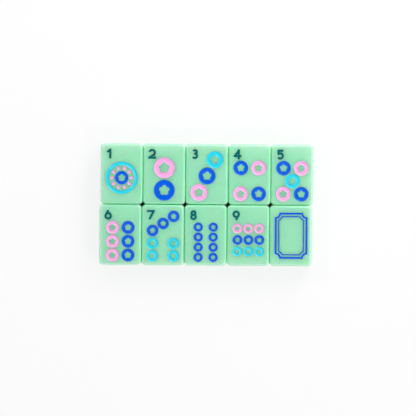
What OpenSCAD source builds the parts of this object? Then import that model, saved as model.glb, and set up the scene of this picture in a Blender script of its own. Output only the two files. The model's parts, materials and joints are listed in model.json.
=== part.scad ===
// Ten mahjong tiles, laid face up in two rows of five: the dots suit from one
// to nine, and the white dragon with its plain frame.
// Each tile is a solid resin block with pockets engraved in its face. Every
// pocket holds its own fill of enamel, one node for each colour on a tile.
// The origin lies on the table, in the middle of the ten tiles. X runs along
// the rows, Y points to the row of low numbers, and Z points up.

/* [Tile block] */
// Width of a tile, along its row
tile_w = 22.2; // [17:0.1:30]
// Length of a tile, across its row
tile_l = 31.8; // [25:0.1:42]
// Thickness of a tile, from its back to its face
tile_t = 12.7; // [8:0.1:20]
// Radius of the four upright corners
corner_r = 2.2; // [1.6:0.1:4]
// Radius of the rounded edge round the face and round the back
edge_r = 1.5; // [0.4:0.1:1.6]

/* [Layout of the set] */
// Gap between two tiles that lie side by side
tile_gap = 0.05; // [0.03:0.01:2]
// How far the row of high numbers lies to the left of the other row
row_shift = 0.5; // [0:0.1:5]

/* [Engraving] */
// Depth of the engraved pockets
pocket_depth = 0.6; // [0.35:0.05:1.2]
// Depth of the enamel's surface below the face
paint_recess = 0.12; // [0.05:0.01:0.25]
// Clearance between a fill and the walls of its pocket
fill_clearance = 0.02; // [0.01:0.01:0.05]

/* [Numerals] */
// Height of a numeral, over its strokes
numeral_h = 5.1; // [4.2:0.1:5.5]
// Width of a numeral, over its strokes
numeral_w = 4; // [3.4:0.1:4.2]
// Width of a numeral's strokes
numeral_stroke = 1.05; // [0.6:0.05:1.15]
// From the tile's left side to the middle of its numeral
numeral_side = 4.7; // [4:0.1:5.2]
// From the tile's top side to the middle of its numeral
numeral_top = 5.5; // [4.8:0.1:5.8]

/* [One dot] */
// From the tile's centre down to the middle of the rosette
rosette_drop = 2.2; // [1.4:0.1:4]
// Diameter of the rosette's rim
rosette_d = 16.8; // [15.6:0.1:17.2]
// Width of the rosette's rim
rosette_rim = 1.7; // [1:0.1:2]
// Diameter of the dot in the middle of the rosette
eye_d = 7; // [5:0.1:7.4]
// Width of the painted band of the dot in the middle of the rosette
eye_band = 1.6; // [1.2:0.1:2]
// Number of petals round the dot in the middle
petal_count = 10; // [6:1:12]
// Width of a petal
petal_w = 1.4; // [0.8:0.1:1.6]
// Gap between a petal and the rim, and between a petal and the dot in the middle
petal_gap = 0.55; // [0.3:0.05:0.7]

/* [Two dots] */
// From the bottom side of a tile to its lowest dots, on all but the nine
foot_margin = 1.95; // [1.7:0.05:2.3]
// Diameter of the dots on the two
two_d = 10.8; // [8:0.1:11]
// Width of the painted band of the dots on the two
two_band = 2.6; // [1.5:0.1:3]
// Gap between the dots on the two
two_gap = 0.9; // [0.4:0.1:1.2]

/* [Three dots] */
// Diameter of the dots on the three
three_d = 8.8; // [7:0.1:9]
// Width of the painted band of the dots on the three
three_band = 2.1; // [1.4:0.1:2.6]
// Gap between neighbours on the three's diagonal
three_gap = 0.7; // [0.4:0.1:1]
// Sideways step from dot to dot on the three's diagonal
three_step = 4.1; // [3.2:0.1:4.8]

/* [Four and five dots] */
// Diameter of the dots on the four and the five
four_d = 7.6; // [6:0.1:7.7]
// Width of the painted band of the dots on the four and the five
four_band = 1.85; // [1.2:0.05:2.2]
// Gap between the left and right dots on the four and the five
four_gap = 1.7; // [1.2:0.1:2.4]
// Gap between the five's middle dot and each of its other dots
five_gap = 0.6; // [0.4:0.1:0.7]

/* [Six dots] */
// Diameter of the dots on the six
six_d = 6.7; // [5:0.1:6.8]
// Width of the painted band of the dots on the six
six_band = 1.6; // [1.1:0.05:2]
// Gap between the columns of the six
six_column_gap = 1.3; // [0.6:0.1:3]
// Gap between the rows of the six
six_row_gap = 0.5; // [0.4:0.05:0.7]

/* [Seven dots] */
// Diameter of the dots on the seven
seven_d = 6; // [5:0.1:6.2]
// Width of the painted band of the dots on the seven
seven_band = 1.5; // [1:0.05:1.8]
// Gap between the columns of the seven's four lower dots
seven_column_gap = 4.9; // [3.6:0.1:5.2]
// Gap between the rows of the seven, and between its three slanting dots
seven_row_gap = 0.6; // [0.4:0.1:0.9]

/* [Eight dots] */
// Diameter of the dots on the eight
eight_d = 4.8; // [4:0.1:5]
// Width of the painted band of the dots on the eight
eight_band = 1.2; // [0.9:0.05:1.4]
// Gap between the columns of the eight
eight_column_gap = 3; // [1:0.1:5]
// Gap between the rows of the eight
eight_row_gap = 0.45; // [0.35:0.05:0.6]

/* [Nine dots] */
// Diameter of the dots on the nine
nine_d = 5.1; // [4.2:0.1:5.3]
// Width of the painted band of the dots on the nine
nine_band = 1.25; // [0.9:0.05:1.5]
// Gap between the columns of the nine
nine_column_gap = 0.6; // [0.4:0.1:1]
// Gap between the rows of the nine
nine_row_gap = 0.9; // [0.5:0.1:1.3]
// From the bottom side of the nine to its lowest dots
nine_foot = 5; // [3.6:0.1:5.4]

/* [White dragon] */
// Width of the frame, over its outer line
frame_w = 17; // [13:0.1:17.4]
// Length of the frame, over its outer line
frame_l = 24; // [18:0.1:26]
// Radius of the rounded notch in each of the frame's corners
frame_notch = 2.4; // [1:0.1:4]
// Width of the outer line
outer_line = 0.95; // [0.6:0.05:1.4]
// Width of the inner line
inner_line = 0.55; // [0.4:0.05:1]
// Gap between the two lines
line_gap = 0.85; // [0.4:0.05:1.5]

/* [Hidden] */
$fn = 64;
columns = 5;
petals_in_blossom = 5;

// The engraving's sizes are for a face of this width and length. On any other
// face its places spread with the face, and its outlines scale by the smaller
// of the two ratios.
drawn_face = [22.2, 31.8];
spread = [tile_w / drawn_face[0], tile_l / drawn_face[1]];
fit = min(spread);

// The blossom in a dot is drawn in shares of its own radius: each petal's
// radius and its distance from the middle add up to 1.
blossom_petal = 0.44;
blossom_reach = 1 - blossom_petal;
blossom_core = 0.45;

// The numerals have even strokes with flat ends. The middle lines of the
// strokes reach pen_x to each side of a numeral's middle and pen_y above and
// below it, and shares of these two shape each numeral. Angles are in degrees.
pen_x = (numeral_w - numeral_stroke) / 2;
pen_y = (numeral_h - numeral_stroke) / 2;
low_bowl = 0.56 * pen_y;
high_bowl = 0.48 * pen_y;
bowl_end = 148;
waist_end = 105;
one_stem = 0.25 * pen_x;
one_flag = [-0.8 * pen_x, 0.4 * pen_y];
two_bowl = 0.93 * pen_x;
two_start = -45;
two_end = 165;
four_stem = 0.45 * pen_x;
four_bar = -0.45 * pen_y;
five_bowl = 0.66 * pen_y;
five_start = -145;
five_end = 135;
five_back = -0.62 * pen_x;
five_tip = 1.1 * pen_x;
six_bowl = 0.95 * pen_x;
six_lean = 30;
seven_foot = -0.5 * pen_x;

// How far a joint between two strokes stays inside their edges
joint_inset = 0.05;

// The largest turn between two points of the sector that trims a curved stroke
sector_step = 60;

// How far a cutter runs past the surface that it opens
cutter_overrun = 1;

mint = "#9AE3B8";
teal = "#06686C";
pink = "#FDAFE4";
blue = "#0C62EE";
cyan = "#2EDAF3";

// Where the lowest dots of most tiles have their lower edge
foot_y = foot_margin - drawn_face[1] / 2;
numeral_at = [numeral_side - drawn_face[0] / 2, drawn_face[1] / 2 - numeral_top];
rosette_at = [0, -rosette_drop];

two_low = foot_y + two_d / 2;
two_high = two_low + two_d + two_gap;

three_rise = leg(three_d + three_gap, three_step);
three_low = foot_y + three_d / 2;

four_x = (four_d + four_gap) / 2;
four_low = foot_y + four_d / 2;
five_rise = leg(four_d + five_gap, four_x);
four_high = four_low + 2 * five_rise;

six_x = (six_d + six_column_gap) / 2;
six_low = foot_y + six_d / 2;
six_rows = [for (i = [0:2]) six_low + i * (six_d + six_row_gap)];

seven_x = (seven_d + seven_column_gap) / 2;
seven_step = seven_d + seven_row_gap;
seven_low = foot_y + seven_d / 2;
seven_rise = leg(seven_step, seven_x);

eight_x = (eight_d + eight_column_gap) / 2;
eight_low = foot_y + eight_d / 2;
eight_rows = [for (i = [0:3]) eight_low + i * (eight_d + eight_row_gap)];

nine_step = nine_d + nine_column_gap;
nine_columns = [for (i = [-1:1]) i * nine_step];
nine_low = nine_foot - drawn_face[1] / 2 + nine_d / 2;
nine_rows = [for (i = [0:2]) nine_low + i * (nine_d + nine_row_gap)];

// The unit step at an angle
function way(angle) = [cos(angle), sin(angle)];

// The other leg of a right triangle, from its long side and one leg
function leg(long_side, one_leg) = sqrt(long_side * long_side - one_leg * one_leg);

// Where a place of the drawn face lies on the tile's own face
function on_face(place) = [place[0] * spread[0], place[1] * spread[1]];

// Every place where one of the columns crosses one of the rows
function crossings(xs, ys) = [for (y = ys) for (x = xs) [x, y]];

// One fill of enamel: the last words of its node's name, its colour, its
// outline, the places of that outline on the face, and the outline's sizes
function paint(part, colour, outline, places, size = 0, band = 0) =
    [part, colour, outline, places, size, band];
function numeral_fill(digit) = paint("numeral", teal, "numeral", [numeral_at], digit);

// Each tile: its name, its column, its row, and its fills
TILES = [
    ["one_dot", 0, 0, [
        numeral_fill(1),
        paint("cyan_rim", cyan, "ring", [rosette_at], rosette_d, rosette_rim),
        paint("pink_petals", pink, "petals", [rosette_at]),
        paint("blue_eye", blue, "dot", [rosette_at], eye_d, eye_band)]],
    ["two_dot", 1, 0, [
        numeral_fill(2),
        paint("pink_dot", pink, "dot", [[0, two_high]], two_d, two_band),
        paint("blue_dot", blue, "dot", [[0, two_low]], two_d, two_band)]],
    ["three_dot", 2, 0, [
        numeral_fill(3),
        paint("cyan_dot", cyan, "dot", [[three_step, three_low + 2 * three_rise]], three_d, three_band),
        paint("blue_dot", blue, "dot", [[0, three_low + three_rise]], three_d, three_band),
        paint("pink_dot", pink, "dot", [[-three_step, three_low]], three_d, three_band)]],
    ["four_dot", 3, 0, [
        numeral_fill(4),
        paint("blue_dots", blue, "dot", [[-four_x, four_high], [four_x, four_low]], four_d, four_band),
        paint("pink_dots", pink, "dot", [[four_x, four_high], [-four_x, four_low]], four_d, four_band)]],
    ["five_dot", 4, 0, [
        numeral_fill(5),
        paint("blue_dots", blue, "dot", [[-four_x, four_high], [four_x, four_low]], four_d, four_band),
        paint("pink_dots", pink, "dot", [[four_x, four_high], [-four_x, four_low]], four_d, four_band),
        paint("cyan_dot", cyan, "dot", [[0, four_low + five_rise]], four_d, four_band)]],
    ["six_dot", 0, 1, [
        numeral_fill(6),
        paint("pink_dots", pink, "dot", crossings([-six_x], six_rows), six_d, six_band),
        paint("blue_dots", blue, "dot", crossings([six_x], six_rows), six_d, six_band)]],
    ["seven_dot", 1, 1, [
        numeral_fill(7),
        paint("blue_dots", blue, "dot",
            [for (i = [0:2]) [(i - 1) * seven_x, seven_low + 2 * seven_step + i * seven_rise]],
            seven_d, seven_band),
        paint("cyan_dots", cyan, "dot",
            crossings([-seven_x, seven_x], [seven_low, seven_low + seven_step]), seven_d, seven_band)]],
    ["eight_dot", 2, 1, [
        numeral_fill(8),
        paint("blue_dots", blue, "dot", crossings([-eight_x, eight_x], eight_rows), eight_d, eight_band)]],
    ["nine_dot", 3, 1, [
        numeral_fill(9),
        paint("pink_dots", pink, "dot", crossings(nine_columns, [nine_rows[2]]), nine_d, nine_band),
        paint("blue_dots", blue, "dot", crossings(nine_columns, [nine_rows[1]]), nine_d, nine_band),
        paint("cyan_dots", cyan, "dot", crossings(nine_columns, [nine_rows[0]]), nine_d, nine_band)]],
    ["white_dragon", 4, 1, [
        paint("outer_line", blue, "frame", [[0, 0]], 0, outer_line),
        paint("inner_line", blue, "frame", [[0, 0]], outer_line + line_gap, inner_line)]]
];

function block_name(tile) = str(tile[0], "_block");
function fill_name(tile, one_fill) = str(tile[0], "_", one_fill[0]);

// Puts a tile's parts at its place in the two rows
module at_place(tile) {
    side = tile[2] == 0 ? 1 : -1;
    translate([
        (tile[1] - (columns - 1) / 2) * (tile_w + tile_gap) + side * row_shift / 2,
        side * (tile_l + tile_gap) / 2,
        0]) children();
}

// Half the section across a tile's edge, from the corner's axis outwards
module edge_section() {
    flat = corner_r - edge_r;
    intersection() {
        square([corner_r, tile_t]);
        union() {
            square([flat, tile_t]);
            translate([0, edge_r]) square([corner_r, tile_t - 2 * edge_r]);
            for (z = [edge_r, tile_t - edge_r]) translate([flat, z]) circle(edge_r);
        }
    }
}

// A straight stretch of rounded edge, along X and facing +Y
module edge_bar(length) {
    translate([length / 2, 0, 0]) rotate([90, 0, 90])
        mirror([0, 0, 1]) linear_extrude(length) edge_section();
}

// The plain tile: a core, four rounded bars and four turned corners
module rounded_block() {
    core_w = tile_w - 2 * corner_r;
    core_l = tile_l - 2 * corner_r;
    translate([-core_w / 2, -core_l / 2, 0]) cube([core_w, core_l, tile_t]);
    for (turn = [0, 180]) rotate(turn) {
        translate([0, core_l / 2, 0]) edge_bar(core_w);
        rotate(90) translate([0, core_w / 2, 0]) edge_bar(core_l);
        translate([core_w / 2, core_l / 2, 0]) rotate_extrude(angle = 90) edge_section();
        translate([-core_w / 2, core_l / 2, 0]) rotate(90) rotate_extrude(angle = 90) edge_section();
    }
}

// A ring of enamel, with its band inside the diameter
module ring(d, band, grow) {
    difference() {
        circle(d / 2 + grow);
        circle(d / 2 - band - grow);
    }
}

// A five-petalled blossom that stands free inside a dot
module blossom(r, grow) {
    circle(r * blossom_core - grow);
    for (i = [0:petals_in_blossom - 1])
        rotate(90 + i * 360 / petals_in_blossom)
            translate([r * blossom_reach, 0]) circle(r * blossom_petal - grow);
}

// A round dot, painted round a blossom of bare tile
module dot(d, band, grow) {
    difference() {
        circle(d / 2 + grow);
        blossom(d / 2 - band, grow);
    }
}

// The rosette's petals, each with round ends and pointing outwards
module petals(grow) {
    inner = eye_d / 2 + petal_gap + petal_w / 2;
    outer = rosette_d / 2 - rosette_rim - petal_gap - petal_w / 2;
    r = petal_w / 2 + grow;
    for (i = [0:petal_count - 1]) rotate(i * 360 / petal_count) {
        translate([inner, -r]) square([outer - inner, 2 * r]);
        for (x = [inner, outer]) translate([x, 0]) circle(r);
    }
}

// A rectangle with a rounded notch in each corner, taken in by an inset
module plaque(inset) {
    difference() {
        square([frame_w - 2 * inset, frame_l - 2 * inset], center = true);
        for (x = [-1, 1]) for (y = [-1, 1])
            translate([x * frame_w / 2, y * frame_l / 2]) circle(frame_notch + inset);
    }
}

// One line of the white dragon's frame
module frame_line(inset, width, grow) {
    difference() {
        plaque(inset - grow);
        plaque(inset + width + grow);
    }
}

// A numeral's straight stroke, from one point to another
module bar(from, to, grow) {
    run = to - from;
    length = norm(run) + 2 * grow;
    width = numeral_stroke + 2 * grow;
    translate(from) rotate(atan2(run[1], run[0]))
        translate([-grow, -width / 2]) square([length, width]);
}

// A numeral's curved stroke, anticlockwise from one angle to another
module bend(middle, r, from, to, grow) {
    swell = grow / r * 180 / PI;
    start = from - swell;
    turn = to - from + 2 * swell;
    steps = ceil(turn / sector_step);
    sector_r = (r + numeral_stroke) / cos(sector_step / 2);
    translate(middle) intersection() {
        ring(2 * r + numeral_stroke, numeral_stroke, grow);
        polygon([[0, 0], for (i = [0:steps]) sector_r * way(start + i * turn / steps)]);
    }
}

// A numeral's closed round stroke
module bowl(middle, r, grow) {
    translate(middle) ring(2 * r + numeral_stroke, numeral_stroke, grow);
}

// Rounds off the place where a straight stroke leaves a curved one
module joint(at, grow) {
    translate(at) circle(numeral_stroke / 2 - joint_inset + grow);
}

module one(grow) {
    bar([one_stem, -numeral_h / 2], [one_stem, numeral_h / 2], grow);
    bar([one_stem, pen_y], one_flag, grow);
}

module two(grow) {
    middle = [0, pen_y - two_bowl];
    start = middle + two_bowl * way(two_start);
    bend(middle, two_bowl, two_start, two_end, grow);
    joint(start, grow);
    bar(start, [-pen_x, -pen_y], grow);
    bar([-numeral_w / 2, -pen_y], [numeral_w / 2, -pen_y], grow);
}

module three(grow) {
    bend([0, pen_y - high_bowl], high_bowl, -waist_end, bowl_end, grow);
    bend([0, low_bowl - pen_y], low_bowl, -bowl_end, waist_end, grow);
}

module four(grow) {
    bar([four_stem, -numeral_h / 2], [four_stem, numeral_h / 2], grow);
    bar([four_stem, pen_y], [-pen_x, four_bar], grow);
    bar([-numeral_w / 2, four_bar], [numeral_w / 2, four_bar], grow);
}

module five(grow) {
    middle = [0, five_bowl - pen_y];
    end = middle + five_bowl * way(five_end);
    bend(middle, five_bowl, five_start, five_end, grow);
    joint(end, grow);
    bar(end, [five_back, pen_y], grow);
    bar([five_back - numeral_stroke / 2, pen_y], [five_tip, pen_y], grow);
}

module six(grow) {
    middle = [0, six_bowl - pen_y];
    start = middle + (six_bowl - joint_inset) * way(180 - six_lean);
    rise = numeral_h / 2 - sin(six_lean) * numeral_stroke / 2 - start[1];
    bowl(middle, six_bowl, grow);
    bar(start, start + rise * [tan(six_lean), 1], grow);
}

module seven(grow) {
    run = [pen_x - seven_foot, 2 * pen_y];
    foot_lift = numeral_stroke / 2 * run[0] / norm(run);
    bar([-numeral_w / 2, pen_y], [numeral_w / 2, pen_y], grow);
    bar([pen_x, pen_y], [seven_foot, foot_lift - numeral_h / 2], grow);
}

module eight(grow) {
    bowl([0, pen_y - high_bowl], high_bowl, grow);
    bowl([0, low_bowl - pen_y], low_bowl, grow);
}

// A plain numeral, with its strokes grown by a clearance
module numeral(digit, grow) {
    if (digit == 1) one(grow);
    if (digit == 2) two(grow);
    if (digit == 3) three(grow);
    if (digit == 4) four(grow);
    if (digit == 5) five(grow);
    if (digit == 6) six(grow);
    if (digit == 7) seven(grow);
    if (digit == 8) eight(grow);
    if (digit == 9) rotate(180) six(grow);
}

// The outline of one fill on its tile's face, grown by a clearance
module fill_outline(one_fill, grow) {
    outline = one_fill[2];
    size = one_fill[4];
    band = one_fill[5];
    drawn_grow = grow / fit;
    for (place = one_fill[3]) translate(on_face(place)) scale(fit) {
        if (outline == "numeral") numeral(size, drawn_grow);
        if (outline == "ring") ring(size, band, drawn_grow);
        if (outline == "petals") petals(drawn_grow);
        if (outline == "dot") dot(size, band, drawn_grow);
        if (outline == "frame") frame_line(size, band, drawn_grow);
    }
}

// A tile's resin block, engraved for each of its fills
module block(tile) {
    color(mint) at_place(tile) difference() {
        rounded_block();
        translate([0, 0, tile_t - pocket_depth])
            linear_extrude(pocket_depth + cutter_overrun)
                for (f = tile[3]) fill_outline(f, fill_clearance);
    }
}

// The enamel of one colour in a tile's pockets, lying on their floor
module enamel(tile, one_fill) {
    color(one_fill[1]) at_place(tile)
        translate([0, 0, tile_t - pocket_depth])
            linear_extrude(pocket_depth - paint_recess) fill_outline(one_fill, 0);
}

for (tile = TILES) {
    block(tile);
    for (f = tile[3])
        enamel(tile, f);
}
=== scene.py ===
import json
import math

import bmesh
import bpy
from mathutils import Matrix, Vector


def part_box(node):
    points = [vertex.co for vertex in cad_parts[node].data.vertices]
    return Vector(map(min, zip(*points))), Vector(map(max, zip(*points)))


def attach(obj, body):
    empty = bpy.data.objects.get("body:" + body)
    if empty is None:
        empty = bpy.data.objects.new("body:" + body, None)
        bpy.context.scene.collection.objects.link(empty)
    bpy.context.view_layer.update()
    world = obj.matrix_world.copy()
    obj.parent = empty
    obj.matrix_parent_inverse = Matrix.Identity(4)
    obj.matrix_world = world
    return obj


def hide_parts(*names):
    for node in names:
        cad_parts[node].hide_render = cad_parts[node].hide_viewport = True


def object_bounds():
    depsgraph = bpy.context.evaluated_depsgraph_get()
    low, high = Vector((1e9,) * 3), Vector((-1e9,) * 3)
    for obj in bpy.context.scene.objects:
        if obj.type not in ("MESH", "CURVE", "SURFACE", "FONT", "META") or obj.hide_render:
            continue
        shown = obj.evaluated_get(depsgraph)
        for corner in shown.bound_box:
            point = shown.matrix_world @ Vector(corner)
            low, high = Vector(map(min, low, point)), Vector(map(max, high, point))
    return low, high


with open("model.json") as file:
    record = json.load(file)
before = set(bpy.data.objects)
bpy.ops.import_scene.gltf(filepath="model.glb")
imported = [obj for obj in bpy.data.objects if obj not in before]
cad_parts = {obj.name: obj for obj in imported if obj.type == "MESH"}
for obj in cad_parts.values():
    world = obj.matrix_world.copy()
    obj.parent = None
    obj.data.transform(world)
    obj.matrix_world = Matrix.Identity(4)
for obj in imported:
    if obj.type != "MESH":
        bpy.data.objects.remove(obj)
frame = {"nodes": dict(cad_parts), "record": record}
cad_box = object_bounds()

MM = 0.001

# The photographed frame: pixels, and pixels to a millimetre on the faces of the tiles
IMAGE_PX = 416
PX_PER_MM = 1.919
SET_CENTRE_PX = (206.3, 204.7)
CAMERA_HEIGHT = 800 * MM
CAMERA_ROLL = math.radians(0.38)
CAMERA_REACH = (0.05, 10.0)
SENSOR = 36.0

# Closer than these, two points are one, a point is on a level, and two faces are one flat face
MERGE = 0.002 * MM
LEVEL = 0.004 * MM
FLAT_ANGLE = math.radians(0.1)
# Up to this angle, the surface is smooth over an edge
SMOOTH_ANGLE = math.radians(38)
# How far a face's normal points up: at most this on a wall, and at least this on a top
WALL_RISE = 0.1
TOP_RISE = 0.9

# The rounded lips of the engraving
LIP = 0.11 * MM
LIP_STEPS = 3

# The enamel in it: how far it creeps to the walls, and how deep its surface sinks between them
WETTING = 0.03 * MM
RINGS = ("dot", "dots", "rim", "eye")
GROOVE_STEPS = 10
GROOVE_DEPTH = 0.3 * MM
# Strokes: their width and depth, and the shares of the width at which the surface is stepped
STROKES = {
    "numeral": (1.0 * MM, 0.04 * MM),
    "petals": (1.2 * MM, 0.2 * MM),
    "outer_line": (0.84 * MM, 0.15 * MM),
    "inner_line": (0.48 * MM, 0.1 * MM),
}
STROKE_STEPS = (0.1, 0.23, 0.38)

# Colours as they look on a screen, from 0 to 255. A pair is what a finish wavers between.
MINT = (162, 234, 194), (171, 240, 203)
# Painted shade: the deep green painted into the resin in the gaps between tiles
PAINTED_SEAM_SHADE = (116, 254, 168)
PAPER = (244, 246, 245), (248, 248, 248)
# The last number is how strongly the enamel mirrors the light
ENAMELS = {
    "teal_enamel": ((0, 104, 104), (0, 115, 112), 0.05),
    "pink_enamel": ((255, 172, 231), (255, 190, 238), 0.5),
    "blue_enamel": ((0, 94, 230), (0, 106, 238), 0.3),
    "cyan_enamel": ((22, 216, 240), (58, 228, 246), 0.5),
}
WHITE = (1.0, 1.0, 1.0, 1.0)

# Roughness, from the smoothest spot to the roughest, and the share of the second colour in enamel
RESIN_ROUGHNESS = (0.26, 0.4)
ENAMEL_ROUGHNESS = (0.06, 0.16)
PAPER_ROUGHNESS = 0.9
STREAK_SHARE = (-0.1, 0.6)

# Painted shade: the resin is painted deep green where another tile stands this close, and more so as
# less of the sky is open
PAINTED_SHADE_REACH = 1.5 * MM
PAINTED_SHADE_EDGE = (0.36, 0.74)
SKY_SAMPLES = 16

# Paper is blown out to this share of white, except this close to the tiles
FLOOR_WIDTH = 4.0
FLOOR_GLARE = 0.76
GLARE_CLEAR = 20 * MM
GLARE_EDGE = (0.08, 0.3)

# The tent's cloth, its mouth and where that begins and ends, and the lean to the right and the back
CLOTH = 0.91
MOUTH = 0.05
MOUTH_EDGE = (0.82, 0.96)
LEAN = (0.3, 0.05)

# Soft boxes: place, width in metres, and watts
LAMPS = {
    "key_lamp": ((0.16, 0.28, 0.22), 0.2, 0.5),
    "left_glint": ((-0.3, 0.26, 0.42), 0.1, 0.3),
    "right_glint": ((0.26, -0.3, 0.42), 0.1, 0.3),
}


def linear(screen):
    """A colour as it looks on a screen, as the linear colour that a shader takes."""
    steps = [c / 255 for c in screen]
    return tuple(c / 12.92 if c <= 0.04045 else ((c + 0.055) / 1.055) ** 2.4 for c in steps) + (1.0,)


# Shader maths

class Value:
    """One output of a shader. Sums and products of values add Math nodes to that shader."""

    def __init__(self, shader, socket):
        self.shader = shader
        self.socket = socket

    def math(self, operation, first, second, clamp=False):
        return self.shader.node("ShaderNodeMath", {"operation": operation, "use_clamp": clamp},
                                {0: first, 1: second}, "Value")

    def __add__(self, other):
        return self.math("ADD", self, other)

    def __sub__(self, other):
        return self.math("SUBTRACT", self, other)

    def __rsub__(self, other):
        return self.math("SUBTRACT", other, self)

    def __mul__(self, other):
        return self.math("MULTIPLY", self, other)

    __radd__ = __add__
    __rmul__ = __mul__

    def between(self, low, high):
        """Goes from low to high while the value goes from 0 to 1."""
        return low + self * (high - low)

    def limited(self):
        """The value, kept between 0 and 1."""
        return self.math("ADD", self, 0.0, clamp=True)


class Shader:
    """The nodes of a material or of the world."""

    def __init__(self, owner):
        owner.use_nodes = True
        self.tree = owner.node_tree

    def node(self, kind, settings, sockets, output):
        """Adds a node: its settings first, then values or links for its sockets. Gives one output.

        Sockets go by name, or by number where several share a name.
        """
        made = self.tree.nodes.new(kind)
        for name, setting in settings.items():
            setattr(made, name, setting)
        for name, given in sockets.items():
            self.feed(made.inputs[name], given)
        return Value(self, made.outputs[output])

    def feed(self, socket, given):
        """Links a value to a socket, or sets the socket to a number or a colour."""
        if isinstance(given, Value):
            self.tree.links.new(given.socket, socket)
        else:
            socket.default_value = given

    def ramp(self, value, low, high, at_low, at_high):
        """Eases from one level to another while a value goes from low to high."""
        return self.node("ShaderNodeMapRange", {"interpolation_type": "SMOOTHSTEP"}, {
            "Value": value, "From Min": low, "From Max": high,
            "To Min": at_low, "To Max": at_high}, "Result")

    def looked_at(self):
        """1 where the camera looks, straight or by way of a mirror or glass, and 0 for light."""
        straight, mirrored, through = (
            self.node("ShaderNodeLightPath", {}, {}, f"Is {kind} Ray")
            for kind in ("Camera", "Glossy", "Transmission"))
        return (straight + mirrored + through).limited()


class Finish(Shader):
    """A material in the making: a Principled surface and the nodes that feed it."""

    def __init__(self, name):
        self.material = bpy.data.materials.new(name)
        super().__init__(self.material)
        self.surface = self.tree.nodes["Principled BSDF"]

    def set(self, **sockets):
        """Feeds sockets of the surface, named with _ for a space."""
        for name, given in sockets.items():
            self.feed(self.surface.inputs[name.replace("_", " ")], given)

    def noise(self, lumps, detail=2.0):
        """Noise from 0 to 1, with so many lumps to a metre."""
        place = self.node("ShaderNodeTexCoord", {}, {}, "Object")
        return self.node("ShaderNodeTexNoise", {}, {
            "Vector": place, "Scale": lumps, "Detail": detail}, "Fac")

    def mix(self, share, first, second):
        """Mixes two colours, on the sockets that a Mix node has for colours."""
        factor, one, other, result = 0, 6, 7, 2
        return self.node("ShaderNodeMix", {"data_type": "RGBA"},
                         {factor: share, one: first, other: second}, result)

    def bump(self, height, distance, strength):
        """Tilts the surface as if a height from 0 to 1 raised it by a distance."""
        return self.node("ShaderNodeBump", {}, {
            "Height": height, "Distance": distance, "Strength": strength}, "Normal")

    def open_sky(self, reach, edge):
        """1 out in the open, easing to 0 where most of the sky within reach is hidden."""
        seen = self.node("ShaderNodeAmbientOcclusion", {"samples": SKY_SAMPLES},
                         {"Distance": reach}, "AO")
        return self.ramp(seen, *edge, 0.0, 1.0)


def mint_resin():
    """Milky cast resin: cloudy and tumbled to a soft gloss, with painted shade in deep green where
    tiles stand close together.
    """
    resin = Finish("mint_resin")
    body = resin.mix(resin.noise(lumps=140, detail=3.0), *map(linear, MINT))
    # Painted shade: 1 where a close neighbour hides the sky, 0 out in the open
    painted_seam_shade = 1 - resin.open_sky(PAINTED_SHADE_REACH, PAINTED_SHADE_EDGE)
    resin.set(
        Base_Color=resin.mix(painted_seam_shade, body, linear(PAINTED_SEAM_SHADE)),
        Roughness=resin.noise(lumps=2600).between(*RESIN_ROUGHNESS),
        Normal=resin.bump(resin.noise(lumps=420), distance=0.05 * MM, strength=0.25),
        Subsurface_Weight=1.0,
        Subsurface_Radius=(2.6, 0.55, 1.2),
        Subsurface_Scale=6.0 * MM,
        Specular_IOR_Level=1.0,
        Coat_Weight=1.0,
        Coat_Roughness=0.2,
        IOR=1.5)
    return resin.material


def enamel(name, full, thin, shine):
    """Glossy enamel, wiped in by hand: thinner in streaks, and a little rippled."""
    paint = Finish(name)
    streak = paint.noise(lumps=900, detail=3.0).between(*STREAK_SHARE).limited()
    paint.set(
        Base_Color=paint.mix(streak, linear(full), linear(thin)),
        Roughness=paint.noise(lumps=2200).between(*ENAMEL_ROUGHNESS),
        Normal=paint.bump(paint.noise(lumps=800), distance=0.04 * MM, strength=0.3),
        Specular_IOR_Level=shine,
        IOR=1.5)
    return paint.material


def paper_white():
    """White paper, blown out almost to white, with only a trace of the tiles' shadow."""
    paper = Finish("paper_white")
    paper.set(
        Base_Color=paper.mix(paper.noise(lumps=30), *map(linear, PAPER)),
        Roughness=PAPER_ROUGHNESS)
    share = paper.looked_at() * paper.open_sky(GLARE_CLEAR, GLARE_EDGE) * FLOOR_GLARE
    lit = Value(paper, paper.surface.outputs["BSDF"])
    glare = paper.node("ShaderNodeEmission", {}, {"Color": WHITE, "Strength": 1.0}, "Emission")
    seen = paper.node("ShaderNodeMixShader", {}, {0: share, 1: lit, 2: glare}, "Shader")
    paper.feed(paper.tree.nodes["Material Output"].inputs["Surface"], seen)
    return paper.material


# Modelling

def pick(piece):
    """Makes a piece the only one selected, and the active one."""
    bpy.ops.object.select_all(action="DESELECT")
    piece.select_set(True)
    bpy.context.view_layer.objects.active = piece


def worked_copy(node):
    """A copy of a CAD node's mesh with its triangles joined up, and its flat faces made whole."""
    piece = bpy.data.objects.new(node + "_piece", frame["nodes"][node].data.copy())
    bpy.context.scene.collection.objects.link(piece)
    piece.data.materials.clear()
    pick(piece)
    bpy.ops.mesh.customdata_custom_splitnormals_clear()
    bpy.ops.object.mode_set(mode="EDIT")
    bpy.ops.mesh.select_all(action="SELECT")
    bpy.ops.mesh.remove_doubles(threshold=MERGE)
    bpy.ops.mesh.dissolve_limited(angle_limit=FLAT_ANGLE)
    return piece


def finish_shape(piece):
    """Ends the editing of a piece, and shades it smooth but for its sharp edges."""
    bpy.ops.object.mode_set(mode="OBJECT")
    bpy.ops.object.shade_smooth_by_angle(angle=SMOOTH_ANGLE)
    piece.modifiers.new("even_normals", "WEIGHTED_NORMAL").keep_sharp = True
    bpy.ops.object.modifier_apply(modifier="even_normals")


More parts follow.
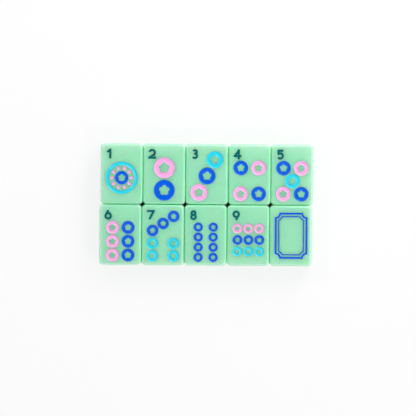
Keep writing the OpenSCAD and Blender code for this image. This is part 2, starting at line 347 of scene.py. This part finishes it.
def select(piece, faces=None, edges=None):
    """In edit mode, selects only the faces, or the edges, that a test picks out."""
    bpy.ops.mesh.select_all(action="DESELECT")
    bpy.ops.mesh.select_mode(type="FACE" if faces else "EDGE")
    mesh = bmesh.from_edit_mesh(piece.data)
    for part in mesh.faces if faces else mesh.edges:
        part.select_set((faces or edges)(part))
    bmesh.update_edit_mesh(piece.data)


def is_wall(face):
    return abs(face.normal.z) < WALL_RISE


def is_top(face):
    return face.normal.z > TOP_RISE


def lies_at(height, edge):
    return all(abs(v.co.z - height) < LEVEL for v in edge.verts)


def corners(piece):
    """The lowest and the highest corner of the box around a piece."""
    axes = list(zip(*(v.co for v in piece.data.vertices)))
    return Vector(map(min, axes)), Vector(map(max, axes))


def centre(piece):
    """The middle of a piece as seen from above, on the ground."""
    low, high = corners(piece)
    return ((low + high) / 2).xy.to_3d()


def tile_block(node):
    """A tile's block: the lips of its engraving are rounded over."""
    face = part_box(node)[1].z

    def lip(edge):
        sides = edge.link_faces
        return lies_at(face, edge) and any(map(is_wall, sides)) and any(map(is_top, sides))

    piece = worked_copy(node)
    select(piece, edges=lip)
    bpy.ops.mesh.bevel(offset=LIP, segments=LIP_STEPS, affect="EDGES")
    finish_shape(piece)
    return piece


def wet_walls(piece):
    """Swells a fill sideways, so that the enamel meets the walls of its pocket."""
    select(piece, faces=is_wall)
    bpy.ops.transform.shrink_fatten(value=WETTING)


def groove(across):
    """How deep a round-bottomed groove is at a share of the way across, in shares of its depth."""
    return 4 * across * (1 - across)


def draw_out(spread, rise):
    """Extrudes the selected line up or down. Spread is how far it then goes out to the circle."""
    bpy.ops.mesh.extrude_region_move(TRANSFORM_OT_translate={"value": (0, 0, rise)})
    bpy.context.scene.tool_settings.vertex_group_weight = spread
    bpy.ops.object.vertex_group_assign()


def round_out(ring, reach):
    """Brings every point of a ring out towards a circle, as far as its spread says."""
    bpy.ops.object.mode_set(mode="OBJECT")
    cast = ring.modifiers.new("round_out", "CAST")
    cast.cast_type = "CYLINDER"
    cast.use_z = False
    cast.factor = 1.0
    cast.use_radius_as_size = False
    cast.size = reach
    cast.vertex_group = "spread"
    bpy.ops.object.modifier_apply(modifier="round_out")
    ring.vertex_groups.clear()
    bpy.ops.object.mode_set(mode="EDIT")


def model_ring(ring):
    """Keeps only the line around a ring's island, and draws it out to a circle with a groove."""
    low, high = corners(ring)
    middle = centre(ring)
    reach = (high.x - low.x) / 2

    def around_island(edge):
        inside = all((v.co - middle).xy.length < reach - LIP for v in edge.verts)
        return inside and lies_at(high.z, edge) and any(map(is_wall, edge.link_faces))

    bpy.ops.object.mode_set(mode="EDIT")
    select(ring, edges=around_island)
    bpy.ops.mesh.select_all(action="INVERT")
    bpy.ops.mesh.delete(type="EDGE")
    bpy.ops.mesh.select_all(action="SELECT")
    bpy.ops.transform.translate(value=-middle)
    ring.vertex_groups.new(name="spread")
    for step in range(GROOVE_STEPS):
        before, across = step / GROOVE_STEPS, (step + 1) / GROOVE_STEPS
        draw_out(across, (groove(before) - groove(across)) * GROOVE_DEPTH)
    # Down the outer wall, back under the ring, and up the wall of the island
    draw_out(1.0, low.z - high.z)
    draw_out(0.0, 0.0)
    draw_out(0.0, high.z - low.z)
    round_out(ring, reach)
    bpy.ops.mesh.select_all(action="SELECT")
    bpy.ops.mesh.remove_doubles(threshold=MERGE)
    bpy.ops.mesh.normals_make_consistent(inside=False)
    bpy.ops.transform.translate(value=middle)


def ring_fill(node):
    """Rings of enamel around islands: one ring is modelled, and copied to the others' places."""
    piece = worked_copy(node)
    wet_walls(piece)
    bpy.ops.mesh.select_all(action="SELECT")
    bpy.ops.mesh.separate(type="LOOSE")
    bpy.ops.object.mode_set(mode="OBJECT")
    spares = [ring for ring in bpy.context.selected_objects if ring != piece]
    places = [centre(ring) for ring in (piece, *spares)]
    pick(piece)
    for spare in spares:
        bpy.data.objects.remove(spare)
    model_ring(piece)
    for last, place in zip(places, places[1:]):
        bpy.ops.mesh.duplicate_move(TRANSFORM_OT_translate={"value": place - last})
    finish_shape(piece)
    return piece


def stroke_fill(node):
    """A fill of plain strokes: its surface sinks from the walls to the middle."""
    width, depth = next(shape for kind, shape in STROKES.items() if node.endswith(kind))
    piece = worked_copy(node)
    wet_walls(piece)
    select(piece, faces=is_top)
    before = 0.0
    for across in STROKE_STEPS:
        bpy.ops.mesh.inset(
            thickness=width * (across - before),
            depth=depth * (groove(before) - groove(across)),
            use_even_offset=False)
        before = across
    finish_shape(piece)
    return piece


def make(node):
    """The piece that shows in the place of a CAD node."""
    if node.endswith("_block"):
        return tile_block(node)
    return ring_fill(node) if node.split("_")[-1] in RINGS else stroke_fill(node)


FINISHES = {"mint_resin": mint_resin()}
for name, look in ENAMELS.items():
    FINISHES[name] = enamel(name, *look)

for body, nodes in frame["record"]["behaviour"]["bodies"].items():
    for node in nodes:
        piece = make(node)
        slot = frame["nodes"][node].data.materials[0].name
        piece.data.materials.append(FINISHES[slot])
        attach(piece, body)
        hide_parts(node)


# Stage

def light_tent():
    """White cloth, brighter to the right and behind, with a dark mouth overhead for the camera."""
    tent = bpy.data.worlds.new("light_tent")
    cloth = Shader(tent)
    facing = cloth.node("ShaderNodeTexCoord", {}, {}, "Generated")
    right, back, up = (
        cloth.node("ShaderNodeSeparateXYZ", {}, {"Vector": facing}, axis) for axis in "XYZ")
    level = cloth.ramp(up, *MOUTH_EDGE, CLOTH, MOUTH)
    light = cloth.tree.nodes["Background"].inputs
    cloth.feed(light["Strength"], level * (1 + right * LEAN[0] + back * LEAN[1]))
    cloth.feed(light["Color"], WHITE)
    return tent


def soft_box(name, place, width, watts):
    """A lamp that faces the middle of the set."""
    bpy.ops.object.light_add(type="AREA", location=place)
    lamp = bpy.context.object
    lamp.name = name
    lamp.data.shape = "SQUARE"
    lamp.data.size = width
    lamp.data.energy = watts
    lamp.rotation_euler = (-Vector(place)).to_track_quat("-Z", "Y").to_euler()


def overhead_camera(face):
    """A camera that looks straight down at the faces, with the set where the photograph has it."""
    camera = bpy.data.objects.new("camera", bpy.data.cameras.new("camera"))
    bpy.context.scene.collection.objects.link(camera)
    view_width = IMAGE_PX / PX_PER_MM * MM
    camera.data.sensor_width = SENSOR
    camera.data.lens = SENSOR * CAMERA_HEIGHT / view_width
    camera.data.clip_start, camera.data.clip_end = CAMERA_REACH
    camera.location = (
        (IMAGE_PX / 2 - SET_CENTRE_PX[0]) / PX_PER_MM * MM,
        (SET_CENTRE_PX[1] - IMAGE_PX / 2) / PX_PER_MM * MM,
        face + CAMERA_HEIGHT)
    camera.rotation_euler = (0, 0, CAMERA_ROLL)
    return camera


bpy.ops.object.select_all(action="DESELECT")
bpy.ops.mesh.primitive_plane_add(size=FLOOR_WIDTH, location=(0, 0, 0))
floor = bpy.context.object
floor.name = "floor"
floor.data.materials.append(paper_white())

for name, settings in LAMPS.items():
    soft_box(name, *settings)
bpy.context.scene.world = light_tent()
bpy.context.scene.camera = overhead_camera(cad_box[1].z)
bpy.context.scene.view_settings.view_transform = "Standard"
